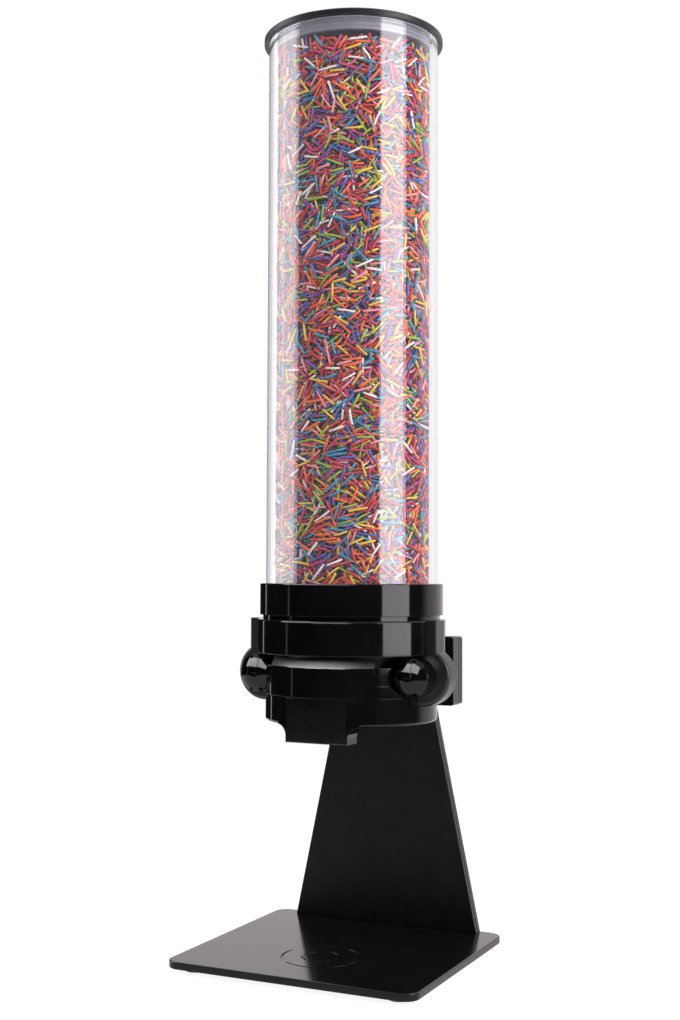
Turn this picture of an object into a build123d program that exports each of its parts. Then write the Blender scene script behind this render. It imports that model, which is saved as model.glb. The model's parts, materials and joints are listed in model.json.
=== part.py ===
from build123d import *
import math
import os

# Candy dispenser: a clear tube of sugar sprinkles over a black head with a push bar, on a flat stand.
# Millimetres, +Z up, front at -Y. The origin is under the middle of the base, on the floor.

# Stand: base and feet
BASE_W = 178.0
BASE_D = 166.0
BASE_T = 5.0
BASE_CORNER = 10.0
BASE_EDGE = 0.8
FOOT_R = 8.0
FOOT_H = 3.0
FOOT_INSET = 16.0
MARK_R = 26.0
MARK_INNER_R = 12.5
MARK_DEPTH = 0.5
MARK_LINE = 1.3
MARK_ARCS = 5
MARK_FILL = 0.72
MARK_FORWARD = 40.0

# Stand: upright and rail
UPRIGHT_TOP = 216.0
UPRIGHT_HALF_FOOT = 71.5
UPRIGHT_TAPER = 0.21
UPRIGHT_SETBACK = 0.5
FRONT_T = 2.0
SPACER_T = 1.2
SPACER_INSET = 1.6
BACK_T = 4.8
BACK_WALL = 1.5
BACK_FOOT_BLOCK = 14.0
RAIL_HALF_W = 61.0
RAIL_BOTTOM = 169.5
RAIL_TOP = 218.0
RAIL_T = 7.5
RAIL_CORNER = 2.0
NECK_HALF_W = 12.0
NECK_DEPTH = 4.0
TEE_HALF_W = 18.0
TEE_DEPTH = 3.4
TEE_TOP_INSET = 5.5
BACKPLATE_T = 10.2

# Head: rings, heights above the floor
AXIS_Y = 17.0
LOWER_R = 59.8
LOWER_BOTTOM = 161.0
LOWER_TOP = 179.5
LOWER_EDGE = 2.0
BAND_R = 60.5
BAND_WALL = 4.0
BAND_BOTTOM = 179.9
BAND_TOP = 206.1
SHOULDER_H = 6.3
SHOULDER_IN = 3.4
SHOULDER_HALF_W = 38.2
BAND_END_RECESS = 1.6
BAND_END_SKIRT = 8.0
BAND_BACK = 31.0
UPPER_R = 65.8
UPPER_BOTTOM = 207.7
UPPER_TOP = 231.0
UPPER_EDGE = 1.0
RING_WALL = 2.5
UPPER_WALL = 3.6
FLOOR_T = 2.2
SEAT_Z = 218.3
SEAT_INNER_R = 50.0
CORE_R = 43.5
CORE_BACK_Y = 8.0
BACK_POCKET_WALL = 3.0

# Spout and portion gate
SPOUT_HALF_W = 22.8
SPOUT_DEPTH = 15.3
SPOUT_BOTTOM = 149.5
SPOUT_WALL = 1.8
SPOUT_FILLET = 7.5
COVER_T = 1.2
COVER_MARGIN = 0.6
PORTION_HALF_W = 18.0
PORTION_LENGTH = 11.0
THROAT_FORWARD = 18.0
GATE_T = 2.8
GATE_BOTTOM = 192.2
GATE_HALF_W = 21.0
GATE_SLACK = 0.3
GATE_TAIL = 20.0
PUSH_TRAVEL = 12.0
LINK_HALF_W = 15.0
LINK_H = 15.0
LINK_DEPTH = 8.4
LINK_CLEAR = 0.6

# Arms, barrels and springs
BARREL_X = 57.5
BARREL_Z = 193.4
BARREL_R = 13.0
BARREL_WALL = 2.5
BARREL_FRONT = 30.0
BARREL_LENGTH = 20.0
BORE_CLEAR = 0.08
CAP_RIM = 2.0
CAP_DOME = 4.5
CAP_PLUG = 3.0
CAP_RIB_W = 5.0
CAP_RIB_H = 0.7
CAP_NOTCH_W = 2.4
CAP_NOTCH_D = 3.0
SLEEVE_R = 20.0
SLEEVE_FRONT = 18.0
SLEEVE_LENGTH = 16.0
SLEEVE_EDGE = 2.5
SOCKET_R = 15.6
SOCKET_WALL = 3.0
ARM_OUTER_X = 70.8
ARM_FRONT = 18.0
ARM_DEPTH = 15.0
ROD_R = 4.0
ROD_TAIL_R = 2.4
ROD_LENGTH = 17.6
SPRING_R = 7.2
WIRE_R = 0.6
SPRING_TURNS = 8

# Canister and lid
COLLAR_R = 64.0
COLLAR_BOTTOM = 234.0
COLLAR_TOP = 255.6
COLLAR_EDGE = 0.8
SPIGOT_SLACK = 0.3
SEAT_GAP = 0.1
TUBE_R = 60.0
TUBE_WALL = 5.0
TUBE_BOTTOM = 240.0
TUBE_TOP = 637.0
TUBE_FIT = 0.1
RIM_T = 2.2
RIM_LEDGE = 1.7
FUNNEL_WALL = 1.6
FUNNEL_BOTTOM = 210.4
SEAL_BOTTOM = 246.0
SEAL_H = 2.5
SEAL_T = 1.5
CANDY_TOP = 627.0
CANDY_SLACK = 0.3
LID_R = 63.4
LID_T = 4.0
LID_EDGE = 0.8
PLUG_WALL = 3.0
PLUG_SLACK = 0.7
PLUG_BOTTOM = 629.5
LID_SEAL_H = 2.6
LID_SEAL_SLACK = 0.3

# Screws
M3_R = 1.5
M3_HEAD_R = 2.8
M3_HEAD_H = 1.8
DRIVE_R = 1.0
DRIVE_DEPTH = 1.0

# Worked out from the sizes above
BASE_TOP = FOOT_H + BASE_T
UPRIGHT_BACK_Y = BASE_D / 2 - UPRIGHT_SETBACK
UPRIGHT_FRONT_Y = UPRIGHT_BACK_Y - BACK_T - SPACER_T - FRONT_T
RAIL_Y = UPRIGHT_FRONT_Y - RAIL_T
BACKPLATE_BACK_Y = RAIL_Y - SEAT_GAP * 3
BACKPLATE_Y = BACKPLATE_BACK_Y - BACKPLATE_T
FACET_Y = AXIS_Y - math.sqrt(LOWER_R**2 - SPOUT_HALF_W**2)
COVER_BACK_Y = FACET_Y + COVER_T
SPOUT_BACK_Y = FACET_Y + SPOUT_DEPTH
THROAT_Y = AXIS_Y - THROAT_FORWARD
GATE_TOP = GATE_BOTTOM + GATE_T
GATE_CLOSED_Y = THROAT_Y - PUSH_TRAVEL
BAND_INNER_R = BAND_R - BAND_WALL
LINK_BACK_Y = AXIS_Y - BAND_INNER_R + LINK_DEPTH
CORE_TOP = UPPER_BOTTOM + FLOOR_T
BARREL_FRONT_Y = AXIS_Y - BARREL_FRONT
BARREL_BACK_Y = BARREL_FRONT_Y + BARREL_LENGTH
CAP_BACK_Y = BARREL_FRONT_Y + CAP_PLUG
SLEEVE_FRONT_Y = AXIS_Y - SLEEVE_FRONT
SLEEVE_BACK_Y = SLEEVE_FRONT_Y + SLEEVE_LENGTH
SOCKET_END_Y = AXIS_Y + CORE_BACK_Y - 0.2
SOCKET_FLOOR_Y = SOCKET_END_Y - SOCKET_WALL
SPIGOT_R = UPPER_R - UPPER_WALL - SPIGOT_SLACK
SEAT_TOP = SEAT_Z + FLOOR_T
TUBE_BORE_R = TUBE_R - TUBE_WALL
COLLAR_BORE_R = TUBE_R + TUBE_FIT
RIM_R = TUBE_BORE_R + RIM_LEDGE - 0.3
RIM_BOTTOM = TUBE_BOTTOM - RIM_T
FUNNEL_TOP_R = TUBE_BORE_R - 2.0
PORTION_HALF_L = PORTION_LENGTH / 2
SIDES = {"left": -1, "right": 1}

os.makedirs("parts", exist_ok=True)


def cyl(radius, z0, z1, x=0.0, y=AXIS_Y):
    """An upright cylinder between two heights."""
    return Pos(x, y, z0) * Cylinder(radius, z1 - z0, align=(Align.CENTER, Align.CENTER, Align.MIN))


def tube(outer, inner, z0, z1, x=0.0, y=AXIS_Y):
    """An upright pipe between two heights."""
    return cyl(outer, z0, z1, x, y) - cyl(inner, z0 - 1, z1 + 1, x, y)


def box(x0, x1, y0, y1, z0, z1):
    """A block between two corners."""
    corner = (Align.MIN, Align.MIN, Align.MIN)
    return Pos(x0, y0, z0) * Box(x1 - x0, y1 - y0, z1 - z0, align=corner)


def rod_y(radius, y0, y1, x, z):
    """A cylinder along Y."""
    base = (Align.CENTER, Align.CENTER, Align.MIN)
    return Pos(x, y0, z) * Rot(-90, 0, 0) * Cylinder(radius, y1 - y0, align=base)


def rod_x(radius, x0, x1, y, z):
    """A cylinder along X."""
    base = (Align.CENTER, Align.CENTER, Align.MIN)
    return Pos(x0, y, z) * Rot(0, 90, 0) * Cylinder(radius, x1 - x0, align=base)


def slab_yz(points, x0, x1):
    """A prism along X with its outline in Y and Z."""
    face = make_face(Polyline(*[(x0, y, z) for y, z in points], close=True))
    return extrude(face, x1 - x0, dir=(1, 0, 0))


def slab_xz(points, y0, y1):
    """A prism along Y with its outline in X and Z."""
    face = make_face(Polyline(*[(x, y0, z) for x, z in points], close=True))
    return extrude(face, y1 - y0, dir=(0, 1, 0))


def screw_up(x, y, z, length):
    """A screw pointing up, its head's underside-down face at height z."""
    body = cyl(M3_HEAD_R, z, z + M3_HEAD_H, x, y) + cyl(M3_R, z, z + length, x, y)
    return body - cyl(DRIVE_R, z - 1, z + DRIVE_DEPTH, x, y)


def screw_hole_up(x, y, z, length):
    """The hole that such a screw fills."""
    return cyl(M3_HEAD_R, z - 1, z + M3_HEAD_H, x, y) + cyl(M3_R, z, z + length, x, y)


def screw_back(x, y, z, length):
    """A screw pointing along +Y, its head's face at y."""
    body = rod_y(M3_HEAD_R, y, y + M3_HEAD_H, x, z) + rod_y(M3_R, y, y + length, x, z)
    return body - rod_y(DRIVE_R, y - 1, y + DRIVE_DEPTH, x, z)


def screw_hole_back(x, y, z, length):
    """The hole that such a screw fills."""
    return rod_y(M3_HEAD_R, y - 1, y + M3_HEAD_H, x, z) + rod_y(M3_R, y, y + length, x, z)


def helix_tube(x, z, y0, y1, mean_r, wire_r, turns):
    """A round wire wound along Y as quarter-turn arcs, its end turns inside y0 and y1."""
    start = y0 + wire_r + 0.05
    rise = (y1 - wire_r - 0.05 - start) / turns

    def at(turn):
        angle = 2 * math.pi * turn
        return (x + mean_r * math.cos(angle), start + rise * turn, z + mean_r * math.sin(angle))

    arcs = []
    for quarter in range(4 * turns):
        turn = quarter / 4
        arcs.append(ThreePointArc(at(turn), at(turn + 0.125), at(turn + 0.25)))
    path = Wire(arcs)
    section = Plane(origin=path @ 0, z_dir=path % 0) * Circle(wire_r)
    return sweep(section, path=path)


def save(name, shape):
    """Write one node's STEP file."""
    solids = shape.solids()
    whole = solids[0] if len(solids) == 1 else Compound(children=list(solids))
    export_step(whole, "parts/" + name + ".step")


def upright_outline(inset):
    """The upright's tapered front, drawn in from its sides by inset."""
    top_half = UPRIGHT_HALF_FOOT - UPRIGHT_TAPER * (UPRIGHT_TOP - BASE_TOP)
    low = UPRIGHT_HALF_FOOT - inset
    high = top_half - inset
    return [(-low, BASE_TOP), (low, BASE_TOP), (high, UPRIGHT_TOP), (-high, UPRIGHT_TOP)]


def portion_slot(y, z0, z1, grow=0.0):
    """The rounded portion slot between two heights."""
    half_w = PORTION_HALF_W + grow
    half_l = PORTION_HALF_L + grow
    outline = RectangleRounded(2 * half_w, 2 * half_l, 2.0 + grow)
    return extrude(Pos(0, y, z0) * outline, z1 - z0)


# Screw places
foot_x = BASE_W / 2 - FOOT_INSET
foot_y = BASE_D / 2 - FOOT_INSET
foot_spots = [(sx * foot_x, sy * foot_y) for sx in (-1, 1) for sy in (-1, 1)]
upright_screw_y = UPRIGHT_BACK_Y - BACK_T / 2
upright_screw_spots = [(-0.6 * UPRIGHT_HALF_FOOT, upright_screw_y), (0.6 * UPRIGHT_HALF_FOOT, upright_screw_y)]
UPRIGHT_SCREW_L = BASE_T + 9.0
FOOT_SCREW_L = FOOT_H + 3.5
RAIL_SCREW_L = RAIL_T + FRONT_T
rail_screw_spots = [(sx * 24.0, z) for sx in (-1, 1) for z in (RAIL_BOTTOM + 9.0, RAIL_TOP - 9.0)]


# Base plate with a cup mark of broken rings
def broken_ring(radius, turn):
    pieces = []
    step = 360.0 / MARK_ARCS
    band = tube(radius + MARK_LINE / 2, radius - MARK_LINE / 2, BASE_TOP - MARK_DEPTH, BASE_TOP + 1, 0, MARK_Y)
    for i in range(MARK_ARCS):
        start = math.radians(turn + i * step)
        end = math.radians(turn + (i + MARK_FILL) * step)
        reach = 2 * radius
        corners = [(0, MARK_Y)]
        for angle in (start, (start + end) / 2, end):
            corners.append((reach * math.cos(angle), MARK_Y + reach * math.sin(angle)))
        wedge = make_face(Polyline(*[(x, y, BASE_TOP - 2) for x, y in corners], close=True))
        pieces.append(band & extrude(wedge, 4, dir=(0, 0, 1)))
    return pieces


MARK_Y = AXIS_Y - MARK_FORWARD - 6.0
plate = extrude(Pos(0, 0, FOOT_H) * RectangleRounded(BASE_W, BASE_D, BASE_CORNER), BASE_T)
plate = fillet(plate.edges().filter_by(Plane.XY), BASE_EDGE)
for piece in broken_ring(MARK_R, 20.0) + broken_ring(MARK_INNER_R, 55.0):
    plate -= piece
for x, y in foot_spots:
    plate -= cyl(M3_R, FOOT_H - 1, FOOT_SCREW_L, x, y)
for x, y in upright_screw_spots:
    plate -= screw_hole_up(x, y, FOOT_H, UPRIGHT_SCREW_L)
save("base_plate", plate)

feet = []
foot_screws = []
for x, y in foot_spots:
    foot = cyl(FOOT_R, 0, FOOT_H, x, y)
    foot = fillet(foot.edges().sort_by(Axis.Z)[0], 0.6)
    feet.append(foot - screw_hole_up(x, y, 0.6, FOOT_SCREW_L))
    foot_screws.append(screw_up(x, y, 0.6, FOOT_SCREW_L - 0.6))
save("base_feet", Compound(children=feet))
save("foot_screws", Compound(children=foot_screws))

# Upright: front sheet, spacer and back channel
sheet = slab_xz(upright_outline(0), UPRIGHT_FRONT_Y, UPRIGHT_FRONT_Y + FRONT_T)
sheet_face = sheet.faces().sort_by(Axis.Y)[0]
sheet = fillet(sheet_face.edges(), 0.7)
spacer = slab_xz(upright_outline(SPACER_INSET), UPRIGHT_FRONT_Y + FRONT_T, UPRIGHT_FRONT_Y + FRONT_T + SPACER_T)
channel_y = UPRIGHT_BACK_Y - BACK_T
channel = slab_xz(upright_outline(0), channel_y, UPRIGHT_BACK_Y)
pocket = slab_xz(upright_outline(BACK_WALL), channel_y, UPRIGHT_BACK_Y - BACK_WALL)
pocket_z0 = BASE_TOP + BACK_FOOT_BLOCK
channel -= pocket & box(-BASE_W, BASE_W, channel_y, UPRIGHT_BACK_Y, pocket_z0, UPRIGHT_TOP - BACK_WALL)
for x, y in upright_screw_spots:
    channel -= cyl(M3_R, FOOT_H, FOOT_H + UPRIGHT_SCREW_L, x, y)
for x, z in rail_screw_spots:
    sheet -= rod_y(M3_R, UPRIGHT_FRONT_Y - 1, UPRIGHT_FRONT_Y + FRONT_T + 1, x, z)
save("upright_front", sheet)
save("upright_spacer", spacer)
save("upright_back", channel)
upright_screws = [screw_up(x, y, FOOT_H, UPRIGHT_SCREW_L) for x, y in upright_screw_spots]
save("upright_screws", Compound(children=upright_screws))

# Rail: bracket plate with a T rail for the head
rail = box(-RAIL_HALF_W, RAIL_HALF_W, RAIL_Y, UPRIGHT_FRONT_Y, RAIL_BOTTOM, RAIL_TOP)
rail = fillet(rail.edges().filter_by(Axis.Y), RAIL_CORNER)
tee_top = RAIL_TOP - TEE_TOP_INSET
rail += box(-NECK_HALF_W, NECK_HALF_W, RAIL_Y - NECK_DEPTH, RAIL_Y, RAIL_BOTTOM, tee_top)
tee_y = RAIL_Y - NECK_DEPTH - TEE_DEPTH
rail += box(-TEE_HALF_W, TEE_HALF_W, tee_y, RAIL_Y - NECK_DEPTH, RAIL_BOTTOM, tee_top)
for x, z in rail_screw_spots:
    rail -= screw_hole_back(x, RAIL_Y, z, RAIL_SCREW_L)
save("rail_plate", rail)
rail_screws = [screw_back(x, RAIL_Y, z, RAIL_SCREW_L) for x, z in rail_screw_spots]
save("rail_screws", Compound(children=rail_screws))

# Head: back plate with the T slot, open below
slide_gap = 0.3
back_plate = box(-RAIL_HALF_W, RAIL_HALF_W, BACKPLATE_Y, BACKPLATE_BACK_Y, RAIL_BOTTOM, RAIL_TOP)
back_plate = fillet(back_plate.edges().filter_by(Axis.Y), RAIL_CORNER)
slot_top = tee_top + SEAT_GAP
neck = NECK_HALF_W + slide_gap
tee = TEE_HALF_W + slide_gap
slot_mid_y = RAIL_Y - NECK_DEPTH + slide_gap
back_plate -= box(-neck, neck, slot_mid_y - 1, BACKPLATE_BACK_Y + 1, RAIL_BOTTOM - 1, slot_top)
back_plate -= box(-tee, tee, tee_y - slide_gap, slot_mid_y, RAIL_BOTTOM - 1, slot_top)
BACK_SCREW_L = 13.0
back_screw_spots = [(sx * 30.0, z) for sx in (-1, 1) for z in (LOWER_BOTTOM + 13.0, LOWER_TOP + 16.0)]
back_screws = []
for x, z in back_screw_spots:
    y = BACKPLATE_BACK_Y
    body = rod_y(M3_HEAD_R, y - M3_HEAD_H, y, x, z) + rod_y(M3_R, y - BACK_SCREW_L, y, x, z)
    back_plate -= rod_y(M3_HEAD_R, y - M3_HEAD_H, y + 1, x, z) + rod_y(M3_R, y - BACK_SCREW_L, y, x, z)
    back_screws.append(body - rod_y(DRIVE_R, y - DRIVE_DEPTH, y + 1, x, z))
save("back_plate", back_plate)
save("back_plate_screws", Compound(children=back_screws))

back_cut = box(-100, 100, BACKPLATE_Y, 200, 0, SEAT_Z - SEAT_GAP)
back_screw_holes = [rod_y(M3_R, BACKPLATE_BACK_Y - BACK_SCREW_L, BACKPLATE_Y + 1, x, z) for x, z in back_screw_spots]

# The chute from the gate down to the spout, as a side outline in Y and Z
chute_front = COVER_BACK_Y + SPOUT_WALL
chute_back = SPOUT_BACK_Y - SPOUT_WALL
throat_front = THROAT_Y - PORTION_HALF_L
throat_back = THROAT_Y + PORTION_HALF_L
chute_outline = [
    (throat_back, GATE_BOTTOM),
    (throat_back, GATE_BOTTOM - 4),
    (chute_back, SPOUT_BOTTOM + 3),
    (chute_back, SPOUT_BOTTOM - 1),
    (chute_front, SPOUT_BOTTOM - 1),
    (chute_front, LOWER_BOTTOM + 2),
    (throat_front, GATE_BOTTOM),
]
chute = slab_yz(chute_outline, -PORTION_HALF_W, PORTION_HALF_W)
duct_outline = [
    (throat_back + SPOUT_WALL, GATE_BOTTOM),
    (throat_back + SPOUT_WALL, GATE_BOTTOM - 5),
    (SPOUT_BACK_Y, SPOUT_BOTTOM + 3),
    (SPOUT_BACK_Y, SPOUT_BOTTOM),
    (COVER_BACK_Y, SPOUT_BOTTOM),
    (COVER_BACK_Y, LOWER_BOTTOM + 3),
    (throat_front - SPOUT_WALL, GATE_BOTTOM),
]
duct = slab_yz(duct_outline, -SPOUT_HALF_W, SPOUT_HALF_W)

# Lower housing: ring with a flat front, a hollow inside and the spout below
flange_bottom = LOWER_TOP - FLOOR_T
lower = cyl(LOWER_R, LOWER_BOTTOM, LOWER_TOP)
lower = fillet(lower.edges().sort_by(Axis.Z)[0], LOWER_EDGE)
hollow = cyl(LOWER_R - RING_WALL, LOWER_BOTTOM + FLOOR_T, LOWER_TOP + 1)
hollow &= box(-100, 100, COVER_BACK_Y + SPOUT_WALL, BACKPLATE_Y - RING_WALL, 0, 300)
lower -= hollow
lower += duct & box(-100, 100, -100, 100, LOWER_BOTTOM, flange_bottom)
wedge_half = SPOUT_HALF_W + SPOUT_FILLET
wedge_z = LOWER_BOTTOM - SPOUT_FILLET
spout = box(-wedge_half, wedge_half, FACET_Y - 10, SPOUT_BACK_Y, wedge_z, LOWER_BOTTOM + LOWER_EDGE)
for side in (-1, 1):
    spout -= rod_y(SPOUT_FILLET, FACET_Y - 20, SPOUT_BACK_Y + 1, side * wedge_half, wedge_z)
spout += box(-SPOUT_HALF_W, SPOUT_HALF_W, FACET_Y - 10, SPOUT_BACK_Y, SPOUT_BOTTOM, LOWER_BOTTOM + LOWER_EDGE)
lower += spout & cyl(LOWER_R, SPOUT_BOTTOM, LOWER_BOTTOM + LOWER_EDGE)
lower -= box(-SPOUT_HALF_W, SPOUT_HALF_W, FACET_Y - 20, FACET_Y, SPOUT_BOTTOM - 1, LOWER_TOP + 1)
cover_half = SPOUT_HALF_W - COVER_MARGIN
cover_z0 = SPOUT_BOTTOM + COVER_MARGIN
lower -= box(-cover_half, cover_half, FACET_Y - 1, COVER_BACK_Y, cover_z0, LOWER_TOP - COVER_MARGIN)
lower -= chute
lower -= back_cut
boss_spots = [(-36.0, AXIS_Y - 18.0), (36.0, AXIS_Y - 18.0), (-30.0, AXIS_Y + 24.0), (30.0, AXIS_Y + 24.0)]
HOUSING_SCREW_L = 38.0
for x, y in boss_spots:
    lower += cyl(M3_HEAD_R + 2.0, LOWER_BOTTOM, flange_bottom, x, y)
for x, y in boss_spots:
    lower -= screw_hole_up(x, y, LOWER_BOTTOM, HOUSING_SCREW_L)
for hole in back_screw_holes:
    lower -= hole
save("lower_housing", lower)

cover = box(-cover_half, cover_half, FACET_Y, COVER_BACK_Y, cover_z0, LOWER_TOP - COVER_MARGIN)
save("spout_cover", cover)

# Mid housing: core with the throat, the gate's slot and the block behind the barrels
core = cyl(CORE_R, LOWER_TOP, CORE_TOP)
core += cyl(LOWER_R - RING_WALL - 0.2, flange_bottom, LOWER_TOP) & box(
    -100, 100, COVER_BACK_Y + SPOUT_WALL + 0.2, BACKPLATE_Y - RING_WALL - 0.2, 0, 300)
block_y = AXIS_Y + CORE_BACK_Y
block = cyl(LOWER_R, LOWER_TOP, UPPER_BOTTOM) & box(-100, 100, block_y, BACKPLATE_Y, 0, 300)
pocket_r = LOWER_R - BACK_POCKET_WALL
block -= cyl(pocket_r, LOWER_TOP + FLOOR_T, UPPER_BOTTOM + 1) & box(
    -100, 100, block_y + BACK_POCKET_WALL, BACKPLATE_Y - BACK_POCKET_WALL, 0, 300)
core += block
core += cyl(CORE_R, LOWER_TOP, CORE_TOP) & box(-100, 100, -100, BACKPLATE_Y, 0, 300)
core &= box(-100, 100, -100, BACKPLATE_Y, 0, 300)
link_room_y = LINK_BACK_Y + PUSH_TRAVEL + LINK_CLEAR
link_z0 = GATE_BOTTOM + GATE_T / 2 - LINK_H / 2
link_z1 = link_z0 + LINK_H
room_half = LINK_HALF_W + LINK_CLEAR
core -= box(-room_half, room_half, -100, link_room_y, link_z0 - LINK_CLEAR, link_z1 + LINK_CLEAR)
gate_back_y = AXIS_Y - BAND_INNER_R + LINK_DEPTH + 48.0
slot_half = GATE_HALF_W + GATE_SLACK
slot_end_y = gate_back_y + PUSH_TRAVEL + LINK_CLEAR
core -= box(-slot_half, slot_half, -100, slot_end_y, GATE_BOTTOM - 0.2, GATE_TOP + 0.2)
core -= portion_slot(THROAT_Y, GATE_TOP, CORE_TOP + 1)
core -= chute
for x, y in boss_spots:
    core -= cyl(M3_R, LOWER_BOTTOM, LOWER_BOTTOM + HOUSING_SCREW_L, x, y)
for hole in back_screw_holes:
    core -= hole
save("mid_housing", core)

# Upper housing: ring that closes the head and seats the canister
upper = tube(UPPER_R, UPPER_R - UPPER_WALL, UPPER_BOTTOM, UPPER_TOP)
upper = fillet(upper.edges().filter_by(GeomType.CIRCLE).group_by(Axis.Z)[-1].sort_by(SortBy.LENGTH)[-1], UPPER_EDGE)
upper += tube(UPPER_R - 1, CORE_R + 0.05, UPPER_BOTTOM, CORE_TOP)
upper -= back_cut
upper += tube(UPPER_R - 1, SEAT_INNER_R, SEAT_Z, SEAT_TOP)
ARM_SCREW_Z = UPPER_TOP - 6.0
ARM_SCREW_Y = AXIS_Y - ARM_FRONT + ARM_DEPTH / 2
ARM_SCREW_X = UPPER_R - UPPER_WALL
ARM_SCREW_L = 6.5
arm_screw_x0 = ARM_SCREW_X + 0.1
arm_screws = []
for side in (-1, 1):
    x0 = arm_screw_x0 if side > 0 else -arm_screw_x0 - ARM_SCREW_L
    head_x0 = arm_screw_x0 if side > 0 else -arm_screw_x0 - M3_HEAD_H
    shank = rod_x(M3_R, x0, x0 + ARM_SCREW_L, ARM_SCREW_Y, ARM_SCREW_Z)
    head = rod_x(M3_HEAD_R, head_x0, head_x0 + M3_HEAD_H, ARM_SCREW_Y, ARM_SCREW_Z)
    drive_x0 = head_x0 - 1 if side > 0 else head_x0 + M3_HEAD_H - DRIVE_DEPTH
    drive = rod_x(DRIVE_R, drive_x0, drive_x0 + 1 + DRIVE_DEPTH, ARM_SCREW_Y, ARM_SCREW_Z)
    upper -= shank + rod_x(M3_HEAD_R, min(head_x0, side * 58.0), max(head_x0 + M3_HEAD_H, side * 58.0),
                           ARM_SCREW_Y, ARM_SCREW_Z)
    arm_screws.append(shank + head - drive)
save("upper_housing", upper)
save("arm_screws", Compound(children=arm_screws))
housing_screws = [screw_up(x, y, LOWER_BOTTOM, HOUSING_SCREW_L) for x, y in boss_spots]
save("housing_screws", Compound(children=housing_screws))


# Arms: a strip beside the upper housing, a sleeve that guides the barrel and a socket behind it
def arm(side):
    x = side * BARREL_X
    sleeve_x = side * (BARREL_X + 2.5)
    sleeve = rod_y(SLEEVE_R, SLEEVE_FRONT_Y, SLEEVE_BACK_Y, sleeve_x, BARREL_Z)
    sleeve = fillet(sleeve.edges(), SLEEVE_EDGE)
    strip_y0 = AXIS_Y - ARM_FRONT
    strip = box(min(side * 55.0, side * ARM_OUTER_X), max(side * 55.0, side * ARM_OUTER_X),
                strip_y0, strip_y0 + ARM_DEPTH, BARREL_Z, UPPER_TOP)
    strip = fillet(strip.edges().filter_by(Axis.Z), 1.0)
    body = sleeve + strip + rod_y(SOCKET_R, SLEEVE_BACK_Y - 4, SOCKET_END_Y, x, BARREL_Z)
    body -= rod_y(BARREL_R + BORE_CLEAR, SLEEVE_FRONT_Y - 1, SOCKET_FLOOR_Y, x, BARREL_Z)
    body -= cyl(UPPER_R + 0.05, UPPER_BOTTOM - 0.05, UPPER_TOP + 1)
    body -= cyl(LOWER_R + 0.1, LOWER_BOTTOM - 5, LOWER_TOP + SLEEVE_UNDERCUT)
    body -= cyl(CORE_R + 0.1, LOWER_BOTTOM - 5, UPPER_TOP)
    body -= box(-46.0, 46.0, -100, 100, 0, 300)
    body -= rod_y(ROD_TAIL_R, SOCKET_FLOOR_Y - 1, SOCKET_END_Y + 1, x, BARREL_Z)
    x0 = arm_screw_x0 if side > 0 else -arm_screw_x0 - ARM_SCREW_L
    return body - rod_x(M3_R, x0, x0 + ARM_SCREW_L, ARM_SCREW_Y, ARM_SCREW_Z)


# Rods: a guide inside each spring, with a tail in the socket's floor
def guide_rod(side):
    x = side * BARREL_X
    rod = rod_y(ROD_R, SOCKET_FLOOR_Y - ROD_LENGTH, SOCKET_FLOOR_Y, x, BARREL_Z)
    rod = chamfer(rod.edges().sort_by(Axis.Y)[0], 0.8)
    return rod + rod_y(ROD_TAIL_R, SOCKET_FLOOR_Y, SOCKET_END_Y, x, BARREL_Z)


# Barrels: short pipes with domed, notched caps
def barrel(side):
    x = side * BARREL_X
    pipe = rod_y(BARREL_R, BARREL_FRONT_Y, BARREL_BACK_Y, x, BARREL_Z)
    return pipe - rod_y(BARREL_R - BARREL_WALL, BARREL_FRONT_Y - 1, BARREL_BACK_Y + 1, x, BARREL_Z)


def dome(x, height, front_y, radius=BARREL_R):
    """A cap's dome over the barrel's end."""
    middle = (radius * 0.62, front_y - height * 0.72)
    arc = ThreePointArc((x + radius, front_y), (x + middle[0], middle[1]), (x, front_y - height))
    outline = [arc, Line((x, front_y - height), (x, front_y)), Line((x, front_y), (x + radius, front_y))]
    face = make_face(outline)
    return Pos(0, 0, BARREL_Z) * revolve(face, Axis((x, 0, 0), (0, 1, 0)), 360)


def barrel_cap(side):
    x = side * BARREL_X
    rim_y = BARREL_FRONT_Y - CAP_RIM
    half = CAP_RIB_W / 2
    rib_top = BARREL_Z + BARREL_R - CAP_RIB_H
    cap = rod_y(BARREL_R, rim_y, BARREL_FRONT_Y, x, BARREL_Z) + dome(x, CAP_DOME, rim_y)
    rib = dome(x, CAP_DOME + CAP_RIB_H, rim_y) & box(x - half, x + half, rim_y - 20, rim_y, BARREL_Z, rib_top)
    cap += rib
    for notch_x in (x - half - CAP_NOTCH_W, x + half):
        for z0 in (BARREL_Z + BARREL_R - CAP_NOTCH_D, BARREL_Z - BARREL_R - 5):
            cap -= box(notch_x, notch_x + CAP_NOTCH_W, rim_y - 20, rim_y + 0.5, z0, z0 + CAP_NOTCH_D + 5)
    return cap + rod_y(BARREL_R - BARREL_WALL, BARREL_FRONT_Y, CAP_BACK_Y, x, BARREL_Z)


SLEEVE_UNDERCUT = 6.5
for name, side in SIDES.items():
    save(name + "_arm", arm(side))
    save(name + "_guide_rod", guide_rod(side))
    save(name + "_barrel", barrel(side))
    save(name + "_barrel_cap", barrel_cap(side))
    coil = helix_tube(side * BARREL_X, BARREL_Z, CAP_BACK_Y, SOCKET_FLOOR_Y, SPRING_R, WIRE_R, SPRING_TURNS)
    save(name + "_spring", coil)

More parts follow.
